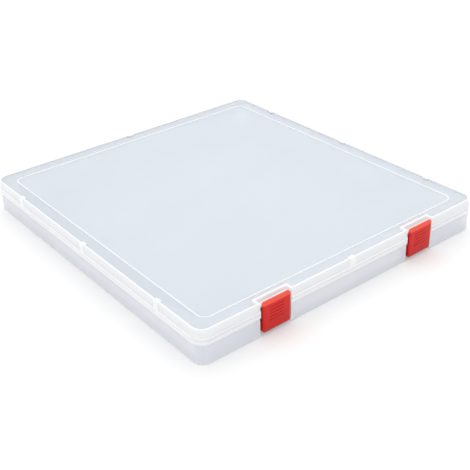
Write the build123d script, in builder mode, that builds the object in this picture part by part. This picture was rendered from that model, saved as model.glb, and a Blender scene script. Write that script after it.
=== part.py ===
"""Flat hinged storage box for twelve inch sheets: a tray, a lid on two pinned hinges and two latches.

The origin is under the middle of the whole box, latches and hinges included, on the plane that its
feet stand on. The latches are at the front, -Y, the hinges at the back, +Y. Sizes are in millimetres.
"""
import os

from build123d import *

os.makedirs("parts", exist_ok=True)

# Whole box, measured over the rim
box_width = 330.0
box_depth = 354.0
box_height = 33.5
corner_radius = 12.0

# Heights of the rim, from the table up
foot_height = 0.4
floor_thickness = 2.0
flange_bottom = 19.3
flange_height = 3.4
lid_gap = 0.3
lip_height = 3.0
tongue_height = 6.6

# Walls, each measured inwards from the rim, and the tray's own corners
wall_inset = 0.8
wall_corner_radius = 10.5
skirt_inset = 0.6
skirt_wall = 1.5
tongue_gap = 0.3
tongue_wall = 1.2

# Lid top: a raised rim all round, and a low bead round the panel
lid_skin = 1.8
top_recess = 1.6
top_rim_width = 2.6
bead_inset = 14.4
bead_width = 1.6
bead_height = 0.5
bead_corner_radius = 9.0

# Lugs that thicken the lid's rim, and the keys under them that drop into notches in the tongue
lug_length = 7.0
lug_width = 4.4
lug_radius = 1.0
side_lug_pitch = 118.0
key_length = 13.0
key_width = 3.3
key_bottom = 24.5
notch_gap = 0.5

# Bays that the latches stand in
latch_spacing = 174.0
bay_width = 31.4
bay_depth = 6.6
bay_radius = 1.6
bay_mouth_radius = 2.0
bay_least_radius = 0.8

# Latches
latch_width = 29.4
latch_proud = 0.7
latch_wall = 1.2
latch_bottom = 3.5
latch_top = 33.0
latch_corner_radius = 2.0
latch_bevel_width = 1.8
latch_bevel_depth = 0.8
brow_height = 3.3
brow_depth = 1.9
hook_thickness = 2.2
hook_depth = 1.7
hook_gap = 0.3
side_flange_bottom = 13.0
catch_drop = 0.7
catch_thickness = 2.0
cheek_wall = 2.0
cheek_top = 14.2
cheek_depth = 4.9
cheek_radius = 1.5
grip_ribs = 5
grip_pitch = 3.1
grip_width = 15.0
grip_rib_thickness = 1.3
grip_rib_height = 0.4
grip_height = 19.5

# Latch pivots
pivot_inset = 2.7
pivot_height = 8.0
trunnion_radius = 1.0
trunnion_length = 2.8
trunnion_gap = 0.05
ear_radius = 1.9
ear_width = 3.0
ear_gap = 0.3

# Lid hinges
hinge_spacing = 174.0
hinge_reach = 4.5
knuckle_radius = 2.4
lid_knuckle = 14.0
tray_knuckle = 8.0
knuckle_gap = 0.3
hinge_pin_radius = 1.1
pin_grip = 0.02
pin_play = 0.08
pin_recess = 0.3

# Feet
foot_radius = 8.0
foot_bore = 6.0

# Rounded edges
top_edge_radius = 0.9
bottom_edge_radius = 0.6
floor_edge_radius = 1.0
lip_edge_radius = 0.5
top_rim_edge_radius = 0.7
top_rim_foot_radius = 0.5
bead_edge_radius = 0.4
latch_edge_radius = 0.4
trunnion_chamfer = 0.4
pin_chamfer = 0.2

# Worked out from the sizes above
latch_reach = latch_proud + grip_rib_height
middle = (latch_reach - hinge_reach) / 2
front = middle - box_depth / 2
back = middle + box_depth / 2
side = box_width / 2
floor_top = foot_height + floor_thickness
flange_top = flange_bottom + flange_height
lid_bottom = flange_top + lid_gap
lip_top = lid_bottom + lip_height
tongue_top = flange_top + tongue_height
panel_top = box_height - top_recess
lid_underside = panel_top - lid_skin
top_rim_inner = skirt_inset + top_rim_width
skirt_inner = skirt_inset + skirt_wall
tongue_inset = skirt_inner + tongue_gap
inner_inset = tongue_inset + tongue_wall
latch_places = (-latch_spacing / 2, latch_spacing / 2)
hinge_places = (-hinge_spacing / 2, hinge_spacing / 2)
pivot_y = front + pivot_inset
latch_face = front - latch_proud
latch_back = latch_face + latch_wall
hook_end = front + hook_depth
hook_bottom = latch_top - hook_thickness
cheek_back = latch_face + cheek_depth
catch_top = hook_bottom - catch_drop
hinge_y = back + hinge_reach - knuckle_radius
hinge_z = (flange_top + lid_bottom) / 2
hinge_width = lid_knuckle + 2 * tray_knuckle + 2 * knuckle_gap
knuckle_seat = hinge_y - knuckle_radius - knuckle_gap
foot_x = side - bead_inset - bead_width - foot_radius
foot_y = box_depth / 2 - bead_inset - bead_width - foot_radius


def rounded_rectangle(inset, radius, mode=Mode.ADD):
    """Outline of the box without its bays, moved inwards by inset."""
    with Locations((0, middle)):
        RectangleRounded(box_width - 2 * inset, box_depth - 2 * inset, radius, mode=mode)


def plan(inset, outer_radius=corner_radius):
    """Outline of the box seen from above, moved inwards by inset, with a bay for each latch."""
    rounded_rectangle(inset, outer_radius - inset)
    with Locations(*[(x, front + inset) for x in latch_places]):
        Rectangle(bay_width + 2 * inset, 2 * bay_depth, mode=Mode.SUBTRACT)


def round_bays(sketch, inset):
    """Rounds the corners that the bays leave in an outline, more at their mouths than inside."""
    reach_x = bay_width / 2 + inner_inset + bay_radius
    mouth_limit = front + bay_depth / 2 + inset
    inside_limit = front + bay_depth + inner_inset + bay_radius
    inside = [v for v in sketch.vertices() if mouth_limit < v.Y < inside_limit]
    fillet([v for v in inside if any(abs(v.X - x) < reach_x for x in latch_places)], bay_radius)
    mouths = [v for v in sketch.vertices() if v.Y < front + inset + bay_least_radius]
    fillet(
        [v for v in mouths if any(abs(v.X - x) < reach_x for x in latch_places)],
        max(bay_mouth_radius - inset, bay_least_radius),
    )


def outer_edges(builder, height):
    """Outer edges of the flat face nearest to a height."""
    flat_faces = builder.faces().filter_by(Plane.XY)
    return flat_faces.sort_by(lambda face: abs(face.center().Z - height))[0].outer_wire().edges()


def lug_blocks(inset, width, length):
    """Rounded rectangles at the lugs, from the rim's outline moved inwards by inset, in by width."""
    reach = inset + width / 2
    for y in (middle - side_lug_pitch, middle, middle + side_lug_pitch):
        with Locations((-side + reach, y), (side - reach, y)):
            RectangleRounded(width, length, lug_radius)
    with Locations((0, front + reach), (0, back - reach)):
        RectangleRounded(length, width, lug_radius)


with BuildPart() as base_tray:
    with BuildSketch(Plane.XY.offset(foot_height)) as tray_plan:
        plan(wall_inset, wall_corner_radius)
        round_bays(tray_plan, wall_inset)
    extrude(amount=flange_top - foot_height)
    fillet(base_tray.edges().group_by(Axis.Z)[0], bottom_edge_radius)
    with BuildSketch(Plane.XY.offset(flange_bottom)) as flange_plan:
        plan(0)
        round_bays(flange_plan, 0)
    extrude(amount=flange_height)
    fillet(base_tray.edges().group_by(Axis.Z)[-1], lip_edge_radius)
    fillet(outer_edges(base_tray, flange_bottom), lip_edge_radius)
    with BuildSketch(Plane.XY.offset(flange_top)) as tongue_plan:
        plan(tongue_inset)
        round_bays(tongue_plan, tongue_inset)
    extrude(amount=tongue_height)
    with BuildSketch(Plane.XY.offset(floor_top)) as cavity_plan:
        plan(inner_inset)
        round_bays(cavity_plan, inner_inset)
    extrude(amount=tongue_top - floor_top, mode=Mode.SUBTRACT)
    fillet(
        base_tray.faces().filter_by(Plane.XY).sort_by(Axis.Z)[1].outer_wire().edges(),
        floor_edge_radius,
    )

    # Notches in the tongue for the lid's keys
    with BuildSketch(Plane.XY.offset(key_bottom - notch_gap)):
        lug_blocks(skirt_inset, inner_inset, key_length + 2 * notch_gap)
    extrude(amount=tongue_height, mode=Mode.SUBTRACT)

    # Feet, which drop into the recessed panel of a box below
    with BuildSketch(Plane.XY):
        with Locations((0, middle)):
            with GridLocations(2 * foot_x, 2 * foot_y, 2, 2):
                Circle(foot_radius)
                Circle(foot_bore, mode=Mode.SUBTRACT)
    extrude(amount=foot_height)

    # Ears that carry the latches
    ear_root = front + bay_depth + wall_inset
    ear_offset = latch_width / 2 - cheek_wall - ear_gap - ear_width / 2
    for x in latch_places:
        for hand in (-1, 1):
            with BuildSketch(Plane.YZ.offset(x + hand * ear_offset - ear_width / 2)):
                with Locations((pivot_y, pivot_height)):
                    Circle(ear_radius)
                    Rectangle(ear_root - pivot_y, 2 * ear_radius, align=(Align.MIN, Align.CENTER))
                    Circle(trunnion_radius + trunnion_gap, mode=Mode.SUBTRACT)
            extrude(amount=ear_width)

    # Knuckles of the lid hinges, with the rim cut back where the lid's own knuckle turns
    for x in hinge_places:
        with BuildSketch(Plane.XY.offset(flange_bottom)):
            with Locations((x, knuckle_seat)):
                Rectangle(
                    lid_knuckle + 2 * knuckle_gap,
                    back - knuckle_seat,
                    align=(Align.CENTER, Align.MIN),
                )
        extrude(amount=flange_height, mode=Mode.SUBTRACT)
        for hand in (-1, 1):
            knuckle_x = x + hand * (lid_knuckle / 2 + knuckle_gap + tray_knuckle / 2)
            with BuildSketch(Plane.YZ.offset(knuckle_x - tray_knuckle / 2)):
                with Locations((hinge_y, hinge_z)):
                    Circle(knuckle_radius)
                with Locations((hinge_y, flange_top)):
                    Rectangle(
                        hinge_y - back + wall_inset,
                        knuckle_radius + flange_top - hinge_z,
                        align=(Align.MAX, Align.MAX),
                    )
                with Locations((hinge_y, hinge_z)):
                    Circle(hinge_pin_radius + pin_grip, mode=Mode.SUBTRACT)
            extrude(amount=tray_knuckle)

base_tray.part.label = "base_tray"
export_step(base_tray.part, "parts/base_tray.step")


with BuildPart() as lid:
    with BuildSketch(Plane.XY.offset(lid_bottom)) as skirt_plan:
        plan(skirt_inset)
        round_bays(skirt_plan, skirt_inset)
    extrude(amount=box_height - lid_bottom)
    fillet(lid.edges().group_by(Axis.Z)[-1], top_edge_radius)
    with BuildSketch(Plane.XY.offset(lid_bottom)) as lip_plan:
        plan(0)
        round_bays(lip_plan, 0)
    extrude(amount=lip_height)
    fillet(outer_edges(lid, lip_top), lip_edge_radius)
    fillet(lid.edges().group_by(Axis.Z)[0], lip_edge_radius)
    with BuildSketch(Plane.XY.offset(lid_bottom)) as skirt_cavity:
        plan(skirt_inner)
        round_bays(skirt_cavity, skirt_inner)
    extrude(amount=lid_underside - lid_bottom, mode=Mode.SUBTRACT)

    # Top recessed inside its rim, with the bead round the panel
    with BuildSketch(Plane.XY.offset(panel_top)) as top_plan:
        plan(top_rim_inner)
        round_bays(top_plan, top_rim_inner)
    extrude(amount=top_recess, mode=Mode.SUBTRACT)
    top_rim = lid.faces().filter_by(Plane.XY).sort_by(Axis.Z)[-1]
    fillet(top_rim.inner_wires().edges(), top_rim_edge_radius)
    fillet(outer_edges(lid, panel_top), top_rim_foot_radius)
    with BuildSketch(Plane.XY.offset(panel_top)):
        rounded_rectangle(bead_inset, bead_corner_radius)
        rounded_rectangle(bead_inset + bead_width, bead_corner_radius - bead_width, Mode.SUBTRACT)
    extrude(amount=bead_height)
    bead_top = lid.faces().filter_by(Plane.XY).sort_by(
        lambda face: abs(face.center().Z - panel_top - bead_height)
    )[0]
    fillet(bead_top.edges(), bead_edge_radius)

    # Lugs, flush with the lip outside and wider than the rim inside
    with BuildSketch(Plane.XY.offset(lip_top - lip_edge_radius)):
        lug_blocks(0, skirt_inner, lug_length)
    extrude(amount=box_height - lip_top + lip_edge_radius)
    with BuildSketch(Plane.XY.offset(panel_top)):
        lug_blocks(0, lug_width, lug_length)
    extrude(amount=top_recess)
    with BuildSketch(Plane.XY.offset(key_bottom)):
        lug_blocks(skirt_inset, key_width - skirt_inset, key_length)
    extrude(amount=lid_underside - key_bottom)

    # Catch ledge across each latch bay
    for x in latch_places:
        with BuildSketch(Plane.XY.offset(catch_top)):
            with Locations((x, hook_end + hook_gap)):
                Rectangle(
                    bay_width + 2 * skirt_wall,
                    bay_depth - hook_depth - hook_gap + skirt_inner,
                    align=(Align.CENTER, Align.MIN),
                )
        extrude(amount=-catch_thickness)

    # Hinge knuckles
    for x in hinge_places:
        with BuildSketch(Plane.XY.offset(lid_bottom)):
            with Locations((x, back - skirt_inset)):
                Rectangle(hinge_width + 2 * knuckle_gap, skirt_inset, align=(Align.CENTER, Align.MIN))
        extrude(amount=lip_height, mode=Mode.SUBTRACT)
        with BuildSketch(Plane.YZ.offset(x - lid_knuckle / 2)):
            with Locations((hinge_y, hinge_z)):
                Circle(knuckle_radius)
            with Locations((hinge_y, lid_bottom)):
                Rectangle(
                    hinge_y - back + skirt_inner,
                    knuckle_radius - lid_bottom + hinge_z,
                    align=(Align.MAX, Align.MIN),
                )
            with Locations((hinge_y, hinge_z)):
                Circle(hinge_pin_radius + pin_play, mode=Mode.SUBTRACT)
        extrude(amount=lid_knuckle)

lid.part.label = "lid"
export_step(lid.part, "parts/lid.step")


for hand, x in zip(("left", "right"), latch_places):
    # Block with the latch's corners and edges rounded as seen from the front
    with BuildPart() as latch_block:
        with BuildSketch(Plane.XZ.offset(-cheek_back)) as latch_outline:
            with Locations((x, latch_bottom)):
                Rectangle(latch_width, latch_top - latch_bottom, align=(Align.CENTER, Align.MIN))
            fillet(latch_outline.vertices(), latch_corner_radius)
        extrude(amount=cheek_depth)
        front_face = latch_block.faces().sort_by(Axis.Y)[0]
        chamfer(
            front_face.outer_wire().edges(),
            latch_bevel_width,
            latch_bevel_depth,
            reference=front_face,
        )

    with BuildPart() as latch:
        # Front plate with a slanted brow along its top and a hook behind it
        with BuildSketch(Plane.YZ.offset(x - latch_width / 2)) as latch_profile:
            with BuildLine():
                Polyline(
                    (latch_face, latch_bottom),
                    (latch_face, latch_top - brow_height),
                    (latch_face + brow_depth, latch_top),
                    (hook_end, latch_top),
                    (hook_end, hook_bottom),
                    (latch_back, hook_bottom),
                    (latch_back, latch_bottom),
                    close=True,
                )
            make_face()
            brow_corners = [v for v in latch_profile.vertices() if v.Y > hook_bottom - brow_height]
            fillet([v for v in brow_corners if v.X < hook_end - hook_gap], latch_edge_radius)
        extrude(amount=latch_width)

        # Cheeks, one each side of the ears, with side flanges that run up to the hook
        for cheek_x in (x - latch_width / 2, x + latch_width / 2 - cheek_wall):
            with BuildSketch(Plane.YZ.offset(cheek_x)):
                with BuildSketch(mode=Mode.PRIVATE) as cheek_outline:
                    with Locations((latch_back, latch_bottom)):
                        Rectangle(
                            cheek_back - latch_back,
                            cheek_top - latch_bottom,
                            align=(Align.MIN, Align.MIN),
                        )
                    fillet(cheek_outline.vertices().group_by(Axis.X)[-1], cheek_radius)
                add(cheek_outline.sketch)
                with Locations((latch_back, side_flange_bottom)):
                    Rectangle(
                        hook_end - latch_back,
                        hook_bottom - side_flange_bottom,
                        align=(Align.MIN, Align.MIN),
                    )
            extrude(amount=cheek_wall)

        add(latch_block.part, mode=Mode.INTERSECT)

        # Trunnions, snapped into the ears
        trunnion_root = latch_width / 2 - cheek_wall
        for start, way in ((x - trunnion_root, 1), (x + trunnion_root, -1)):
            with BuildSketch(Plane.YZ.offset(start)):
                with Locations((pivot_y, pivot_height)):
                    Circle(trunnion_radius)
            extrude(amount=way * trunnion_length)
            tip = latch.faces().filter_by(Plane.YZ).sort_by(lambda face: abs(face.center().X - x))[0]
            chamfer(tip.outer_wire().edges(), trunnion_chamfer)

        # Grip ribs
        with BuildSketch(Plane.XZ.offset(-latch_face)):
            with Locations((x, grip_height)):
                with GridLocations(grip_width, grip_pitch, 1, grip_ribs):
                    SlotOverall(grip_width, grip_rib_thickness)
        extrude(amount=grip_rib_height)

    latch.part.label = f"latch_{hand}"
    export_step(latch.part, f"parts/latch_{hand}.step")


for hand, x in zip(("left", "right"), hinge_places):
    with BuildPart() as hinge_pin:
        with BuildSketch(Plane.YZ.offset(x - hinge_width / 2 + pin_recess)):
            with Locations((hinge_y, hinge_z)):
                Circle(hinge_pin_radius)
        extrude(amount=hinge_width - 2 * pin_recess)
        chamfer(hinge_pin.edges(), pin_chamfer)
    hinge_pin.part.label = f"hinge_pin_{hand}"
    export_step(hinge_pin.part, f"parts/hinge_pin_{hand}.step")
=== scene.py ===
"""Looks of a flat hinged storage box: milky plastic tray and lid, red latches, steel pins."""
import math

import bmesh
import bpy
from mathutils import Matrix, Vector


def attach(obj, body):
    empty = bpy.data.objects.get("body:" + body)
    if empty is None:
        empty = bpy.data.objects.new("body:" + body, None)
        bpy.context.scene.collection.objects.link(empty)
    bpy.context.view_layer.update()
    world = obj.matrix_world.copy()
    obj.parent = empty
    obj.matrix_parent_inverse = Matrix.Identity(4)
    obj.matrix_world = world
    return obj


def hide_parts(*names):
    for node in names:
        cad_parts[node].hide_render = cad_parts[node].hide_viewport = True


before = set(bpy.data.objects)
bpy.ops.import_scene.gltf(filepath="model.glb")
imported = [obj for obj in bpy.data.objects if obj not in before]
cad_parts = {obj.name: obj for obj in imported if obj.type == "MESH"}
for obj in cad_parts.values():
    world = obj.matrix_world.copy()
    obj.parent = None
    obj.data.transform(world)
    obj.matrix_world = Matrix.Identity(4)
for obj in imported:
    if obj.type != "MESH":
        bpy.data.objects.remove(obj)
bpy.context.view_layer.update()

# Camera: places in metres, roll in degrees, lens and sensor in millimetres
camera_spot = Vector((-0.4579, -0.6060, 0.4238))
camera_aim = Vector((0.0006, -0.0137, -0.0165))
camera_roll = math.radians(-2.024)
camera_lens = 65.44
camera_sensor = 36.0

# Room: lengths in metres, lamps' power in watts
pure_white = (1.0, 1.0, 1.0, 1.0)
room_strength = 1.0
floor_white = (0.84, 0.84, 0.84, 1.0)
floor_lift = 0.16
floor_reach = 6.0
lamp_aim = (0, 0, 0)
back_lamp_spot = (0.6, 0.65, 1.1)
back_lamp_size = 1.2
back_lamp_power = 3.6
side_lamp_spot = (-1.6, -0.3, 0.5)
side_lamp_size = 1.0
side_lamp_power = 1.2

# Making of the shells, in metres and degrees
weld_distance = 0.000002
flat_angle = math.radians(0.4)
crease_angle = math.radians(50)
edge_bevel = 0.00025
edge_bevel_steps = 2

# The rim's rounded outline, in metres
rim_side = 0.165
rim_front = -0.1787
rim_back = 0.1753
rim_radius = 0.012

# Where one finish, the plain one or a copy painted lighter or darker as painted light and shade,
# gives way to another: depths inside the rim's outline, in metres
lug_depth = 0.0003
rim_depth = 0.0007
wall_depth = 0.0012
rim_middle = 0.0024
rim_foot = 0.0060
bead_depth = 0.0152

# The same by height above the table, in metres
rim_bottom = 0.0192
lug_bottom = 0.0262
top_panel = 0.0318
top_beads = 0.0322

# The same by slope: the vertical part of a face's normal, up or down
level_slope = 0.985
upright_slope = 0.12

# Latch bays in the front, in metres
bay_place = 0.087
bay_reach = 0.0215
bay_end = -0.170

# Heights on the latches, in metres, that bound the painted shade towards the foot and the
# painted highlight on the brow
latch_foot = 0.005
latch_shoulder = 0.0293
latch_brow = 0.0302

# Colours of the milky finishes, and their alphas, where 1 hides all that is behind; beside the
# plain one, the finishes are lit and shaded copies of it: a painted highlight on edges, bays and
# lugs, the rim and the tray's walls painted lighter as painted light, the border painted darker
# as painted shade
milky_tint = (0.89, 0.94, 1.0, 1.0)
shaded_border_tint = (0.84, 0.885, 0.96, 1.0)
lit_wall_tint = (0.915, 0.935, 1.0, 1.0)
lit_rim_tint = (0.965, 0.98, 1.0, 1.0)
edge_highlight_tint = (0.985, 0.99, 1.0, 1.0)
milky_alpha = 0.5
shaded_border_alpha = 0.5
lit_wall_alpha = 0.66
lit_rim_alpha = 0.84
edge_highlight_alpha = 0.94

# Unevenness of the milky plastic
haze_scale = 7.0
haze_stretch = (1.0, 2.5, 1.0)
haze_range = (0.3, 0.7)
haze_shade = 0.98
milky_cloud_scale = 14.0
milky_roughness = (0.27, 0.37)
milky_grain_scale = 900.0
milky_grain_strength = 0.04

# Red plastic of the latches, with a darker red for painted shade and a paler one for a painted
# highlight
latch_red = (0.66, 0.010, 0.006, 1.0)
shaded_red = (0.56, 0.010, 0.006, 1.0)
brow_highlight_red = (0.90, 0.10, 0.06, 1.0)
red_gloss = 0.3
red_cloud_scale = 60.0
red_roughness = (0.26, 0.36)
red_grain_scale = 1400.0
red_grain_strength = 0.05

# Shared by both plastics, with the grain's height in metres
plastic_ior = 1.49
grain_detail = 2.0
grain_height = 0.0002

# Steel of the hinge pins, with the lines' height in metres
steel_grey = (0.62, 0.62, 0.63, 1.0)
steel_line_scale = 2500.0
steel_line_stretch = (0.02, 1.0, 1.0)
steel_roughness = (0.22, 0.4)
steel_line_strength = 0.1
steel_line_height = 0.0001

# Noise in general
noise_detail = 3.0
noise_roughness = 0.55
even = (1.0, 1.0, 1.0)

# Colour sockets of Blender's Mix node
mix_amount, mix_first, mix_second, mix_result = 0, 6, 7, 2

# Places of the finishes in the shells' list of materials
plain_finish, edge_highlight_finish, lit_rim_finish, shaded_border_finish, lit_wall_finish = range(5)


def node_material(name):
    """A material with an empty Principled shader, and short ways to add and join nodes."""
    material = bpy.data.materials.new(name)
    material.use_nodes = True
    tree = material.node_tree
    shader = tree.nodes["Principled BSDF"]

    def add(kind, **values):
        node = tree.nodes.new(kind)
        for key, value in values.items():
            if key in node.inputs:
                node.inputs[key].default_value = value
            else:
                setattr(node, key, value)
        return node

    def join(source, target):
        tree.links.new(source, target)

    return material, shader, add, join


def object_noise(add, join, scale, detail=noise_detail, stretch=even):
    """Noise on the piece's own coordinates, stretched along the axes."""
    place = add("ShaderNodeTexCoord")
    mapping = add("ShaderNodeMapping", Scale=stretch)
    noise = add("ShaderNodeTexNoise", Scale=scale, Detail=detail, Roughness=noise_roughness)
    join(place.outputs["Object"], mapping.inputs["Vector"])
    join(mapping.outputs["Vector"], noise.inputs["Vector"])
    return noise.outputs["Fac"]


def spread(add, join, source, low, high, source_low=0.0, source_high=1.0):
    """A value that runs from low to high as source runs from source_low to source_high."""
    steps = add("ShaderNodeMapRange")
    steps.inputs["From Min"].default_value = source_low
    steps.inputs["From Max"].default_value = source_high
    steps.inputs["To Min"].default_value = low
    steps.inputs["To Max"].default_value = high
    join(source, steps.inputs["Value"])
    return steps.outputs["Result"]


def blend(add, join, amount, first, second):
    """A colour that runs from first to second, each a fixed colour or the output of a node."""
    tone = add("ShaderNodeMix", data_type="RGBA")
    for socket, colour in ((tone.inputs[mix_first], first), (tone.inputs[mix_second], second)):
        if isinstance(colour, tuple):
            socket.default_value = colour
        else:
            join(colour, socket)
    join(amount, tone.inputs[mix_amount])
    return tone.outputs[mix_result]


def bumps(add, join, shader, relief, strength, height):
    """Gives a surface the relief of a noise, height metres high."""
    bump = add("ShaderNodeBump", Strength=strength, Distance=height)
    join(relief, bump.inputs["Height"])
    join(bump.outputs["Normal"], shader.inputs["Normal"])


def moulded_surface(add, join, shader, cloud_scale, roughness, grain_scale, grain_strength):
    """Surface of moulded plastic, a little uneven in gloss and with a fine grain."""
    shader.inputs["IOR"].default_value = plastic_ior
    cloud = object_noise(add, join, cloud_scale)
    join(spread(add, join, cloud, *roughness), shader.inputs["Roughness"])
    grain = object_noise(add, join, grain_scale, detail=grain_detail)
    bumps(add, join, shader, grain, grain_strength, grain_height)


def milky_plastic(name, tint, alpha):
    """Translucent polypropylene, satin, slightly blue, a little uneven in tone."""
    material, shader, add, join = node_material(name)
    cloud = object_noise(add, join, haze_scale, stretch=haze_stretch)
    haze = spread(add, join, cloud, 0.0, 1.0, *haze_range)
    deeper = tuple(haze_shade * part for part in tint[:3]) + (1.0,)
    join(blend(add, join, haze, deeper, tint), shader.inputs["Base Color"])
    shader.inputs["Alpha"].default_value = alpha
    moulded_surface(add, join, shader, milky_cloud_scale, milky_roughness,
                    milky_grain_scale, milky_grain_strength)
    return material


def red_plastic():
    """Glossy red plastic of the latches, darker towards the foot in painted shade and paler on
    the brow as a painted highlight.
    """
    material, shader, add, join = node_material("red_plastic")
    shader.inputs["Specular IOR Level"].default_value = red_gloss
    place = add("ShaderNodeTexCoord")
    split = add("ShaderNodeSeparateXYZ")
    join(place.outputs["Object"], split.inputs["Vector"])
    height = split.outputs["Z"]
    # Painted shade: the red darkens from the shoulder down to the foot.
    rise = spread(add, join, height, 0.0, 1.0, latch_foot, latch_shoulder)
    face = blend(add, join, rise, shaded_red, latch_red)
    # Painted highlight: the brow is a paler red.
    brow = spread(add, join, height, 0.0, 1.0, latch_shoulder, latch_brow)
    join(blend(add, join, brow, face, brow_highlight_red), shader.inputs["Base Color"])
    moulded_surface(add, join, shader, red_cloud_scale, red_roughness,
                    red_grain_scale, red_grain_strength)
    return material


def pin_steel():
    """Drawn steel wire, with fine lines along X."""
    material, shader, add, join = node_material("pin_steel")
    shader.inputs["Base Color"].default_value = steel_grey
    shader.inputs["Metallic"].default_value = 1.0
    lines = object_noise(add, join, steel_line_scale, stretch=steel_line_stretch)
    join(spread(add, join, lines, *steel_roughness), shader.inputs["Roughness"])
    bumps(add, join, shader, lines, steel_line_strength, steel_line_height)
    return material


def floor_finish():
    """White table whose lit part shows as plain white and which keeps the shadow."""
    material, shader, add, join = node_material("floor_finish")
    tree = material.node_tree
    tree.nodes.remove(shader)
    matt = add("ShaderNodeBsdfDiffuse", Color=floor_white)
    lift = add("ShaderNodeEmission", Color=pure_white, Strength=floor_lift)
    rays = add("ShaderNodeLightPath")
    glossy = add("ShaderNodeMath", operation="MAXIMUM")
    seen = add("ShaderNodeMath", operation="MAXIMUM")
    both = add("ShaderNodeAddShader")
    pick = add("ShaderNodeMixShader")
    join(rays.outputs["Is Camera Ray"], glossy.inputs[0])
    join(rays.outputs["Is Glossy Ray"], glossy.inputs[1])
    join(glossy.outputs[0], seen.inputs[0])
    join(rays.outputs["Is Transmission Ray"], seen.inputs[1])
    join(matt.outputs[0], both.inputs[0])
    join(lift.outputs[0], both.inputs[1])
    join(seen.outputs[0], pick.inputs[0])
    join(matt.outputs[0], pick.inputs[1])
    join(both.outputs[0], pick.inputs[2])
    join(pick.outputs[0], tree.nodes["Material Output"].inputs["Surface"])
    return material


def floor():
    """Plain floor, far wider than the box."""
    mesh = bpy.data.meshes.new("floor")
    signs = ((-1, -1), (1, -1), (1, 1), (-1, 1))
    corners = [(floor_reach * x, floor_reach * y, 0) for x, y in signs]
    mesh.from_pydata(corners, [], [(0, 1, 2, 3)])
    piece = bpy.data.objects.new("floor", mesh)
    bpy.context.scene.collection.objects.link(piece)
    piece.data.materials.append(floor_finish())


def white_room():
    """White world that lights evenly."""
    world = bpy.data.worlds.new("white_room")
    bpy.context.scene.world = world
    world.use_nodes = True
    light = world.node_tree.nodes["Background"]
    light.inputs["Color"].default_value = pure_white
    light.inputs["Strength"].default_value = room_strength


def lamp(name, spot, size, power):
    """Square soft lamp at spot, turned to the box."""
    light = bpy.data.lights.new(name, "AREA")
    light.shape = "SQUARE"
    light.size = size
    light.energy = power
    piece = bpy.data.objects.new(name, light)
    bpy.context.scene.collection.objects.link(piece)
    piece.location = spot
    piece.rotation_euler = (Vector(lamp_aim) - Vector(spot)).to_track_quat("-Z", "Y").to_euler()


def camera():
    """Camera at the photograph's viewing angle."""
    lens = bpy.data.cameras.new("camera")
    lens.lens = camera_lens
    lens.sensor_width = camera_sensor
    piece = bpy.data.objects.new("camera", lens)
    bpy.context.scene.collection.objects.link(piece)
    back = (camera_spot - camera_aim).normalized()
    level_right = Vector((0, 0, 1)).cross(back).normalized()
    level_up = back.cross(level_right)
    right = level_right * math.cos(camera_roll) + level_up * math.sin(camera_roll)
    up = level_up * math.cos(camera_roll) - level_right * math.sin(camera_roll)
    turn = Matrix((right, up, back)).transposed().to_4x4()
    piece.matrix_world = Matrix.Translation(camera_spot) @ turn
    bpy.context.scene.camera = piece


def depth_inside(spot):
    """How far a point is inside the rounded outline of the rim, in metres."""
    middle = (rim_front + rim_back) / 2
    past_x = abs(spot.x) - rim_side + rim_radius
    past_y = abs(spot.y - middle) - (rim_back - rim_front) / 2 + rim_radius
    outwards = math.hypot(max(past_x, 0.0), max(past_y, 0.0)) + min(max(past_x, past_y), 0.0)
    return rim_radius - outwards


def top_finish(face, centre, slope, in_bay):
    """Finish of a face on the lid's top: the panel plain, the border darker as painted shade,
    beads and the rim with its lugs lighter as painted light, and faces in the bays in the
    painted highlight of the edges.
    """
    if slope > level_slope:
        # Bead tops are painted lighter, as a painted highlight.
        if centre.z > top_beads:
            return lit_rim_finish
        # The border is painted darker, as painted shade.
        in_border = all(depth_inside(corner.co) < bead_depth for corner in face.verts)
        return shaded_border_finish if in_border else plain_finish
    # Faces in the latch bays take the painted highlight, as painted light in the bays' shade.
    if in_bay:
        return edge_highlight_finish
    return shaded_border_finish if rim_middle < depth_inside(centre) < rim_foot else lit_rim_finish


def shell_finish(face):
    """Which finish a face of the tray or the lid takes: the plain one, or a copy painted lighter
    or darker that stands in for light and shade.
    """
    centre = face.calc_center_median()
    slope = abs(face.normal.z)
    depth = depth_inside(centre)
    in_bay = abs(abs(centre.x) - bay_place) < bay_reach and centre.y < bay_end
    if centre.z > top_panel:
        return top_finish(face, centre, slope, in_bay)
    if slope > level_slope and not in_bay:
        return plain_finish
    # Fillets and sloped faces take the painted highlight, and faces in the latch bays take it as
    # painted light in their shade.
    if slope > upright_slope or in_bay:
        return edge_highlight_finish
    # The outside of the tray's walls below the rim is painted lighter, as painted light.
    if centre.z < rim_bottom:
        return lit_wall_finish if depth < wall_depth else plain_finish
    # Lugs take the painted highlight.
    if depth < lug_depth and centre.z > lug_bottom:
        return edge_highlight_finish
    # The outside of the rim is painted lighter, as painted light; faces further in take the edge
    # finish and its painted highlight.
    return lit_rim_finish if depth < rim_depth else edge_highlight_finish


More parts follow.
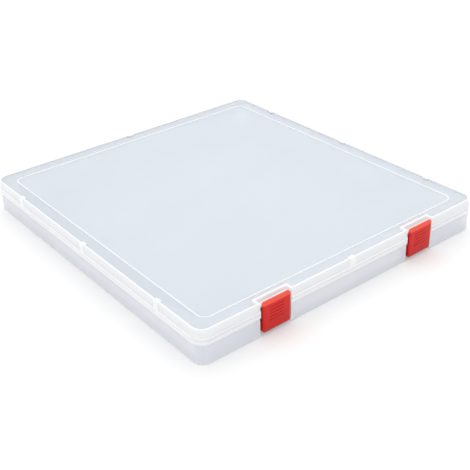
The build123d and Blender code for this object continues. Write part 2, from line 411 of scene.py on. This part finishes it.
def moulded_shell(name, node_name, body, materials):
    """Welded copy of a CAD moulding with its edges rounded, in the shell finishes, the rounded
    edges in the painted highlight.
    """
    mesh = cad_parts[node_name].data.copy()
    mesh.name = name
    mesh.materials.clear()
    for material in materials:
        mesh.materials.append(material)
    shape = bmesh.new()
    shape.from_mesh(mesh)
    bmesh.ops.remove_doubles(shape, verts=shape.verts, dist=weld_distance)
    bmesh.ops.dissolve_limit(shape, angle_limit=flat_angle, verts=shape.verts, edges=shape.edges)
    for face in shape.faces:
        face.smooth = True
        face.material_index = shell_finish(face)
    for edge in shape.edges:
        edge.smooth = edge.calc_face_angle(0) < crease_angle
    shape.to_mesh(mesh)
    shape.free()
    piece = bpy.data.objects.new(name, mesh)
    bpy.context.scene.collection.objects.link(piece)
    bevel = piece.modifiers.new("rounded_edges", "BEVEL")
    bevel.width = edge_bevel
    bevel.segments = edge_bevel_steps
    bevel.limit_method = "ANGLE"
    bevel.angle_limit = crease_angle
    # The rounded edges take the finish with the painted highlight.
    bevel.material = edge_highlight_finish
    bevel.harden_normals = True
    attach(piece, body)
    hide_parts(node_name)


def finish_node(name, material):
    """Gives a CAD node its material."""
    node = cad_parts[name]
    node.data.materials.clear()
    node.data.materials.append(material)


camera()
white_room()
floor()
lamp("back_lamp", back_lamp_spot, back_lamp_size, back_lamp_power)
lamp("side_lamp", side_lamp_spot, side_lamp_size, side_lamp_power)

red = red_plastic()
steel = pin_steel()
# The plain milky plastic and its lit and shaded copies: painted highlight on edges, painted
# light on the rim and the tray's walls, painted shade on the border.
shell_finishes = (
    milky_plastic("milky_plastic", milky_tint, milky_alpha),
    milky_plastic("milky_edge_highlight", edge_highlight_tint, edge_highlight_alpha),
    milky_plastic("milky_rim_lit", lit_rim_tint, lit_rim_alpha),
    milky_plastic("milky_border_shaded", shaded_border_tint, shaded_border_alpha),
    milky_plastic("milky_wall_lit", lit_wall_tint, lit_wall_alpha),
)
moulded_shell("tray_shell", "base_tray", "base", shell_finishes)
moulded_shell("lid_shell", "lid", "lid", shell_finishes)
for name in ("latch_left", "latch_right"):
    finish_node(name, red)
for name in ("hinge_pin_left", "hinge_pin_right"):
    finish_node(name, steel)

bpy.context.scene.view_settings.view_transform = "Standard"
